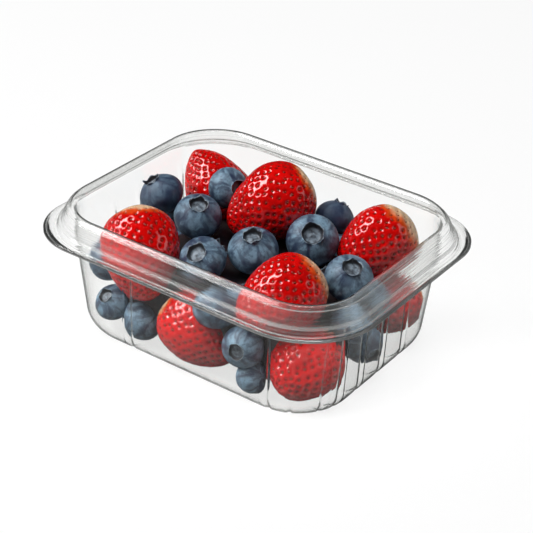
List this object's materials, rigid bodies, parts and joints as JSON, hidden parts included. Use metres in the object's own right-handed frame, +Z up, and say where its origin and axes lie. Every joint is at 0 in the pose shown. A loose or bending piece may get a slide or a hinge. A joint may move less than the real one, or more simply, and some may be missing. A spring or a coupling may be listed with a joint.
{
  "type": "punnet of mixed berries",
  "caption": "Clear thermoformed plastic punnet with a raised rim and thin pull flange, heaped with strawberries and blueberries.",
  "frame": {"origin": "under the middle of the punnet's floor, on the surface it stands on", "axes": "+Z up, +X along the long side"},
  "size_m": [0.1416, 0.1156, 0.0606],
  "materials": {
    "clear_sheet": "clear thermoformed sheet, glossy",
    "berry_skin": "moist fruit skin, glossy red",
    "blueberry_skin": "dusky blue skin with a pale bloom, satin"
  },
  "bodies": {
    "root": {"punnet_tray": "clear_sheet", "berry_heap": "berry_skin"}
  },
  "joints": []
}
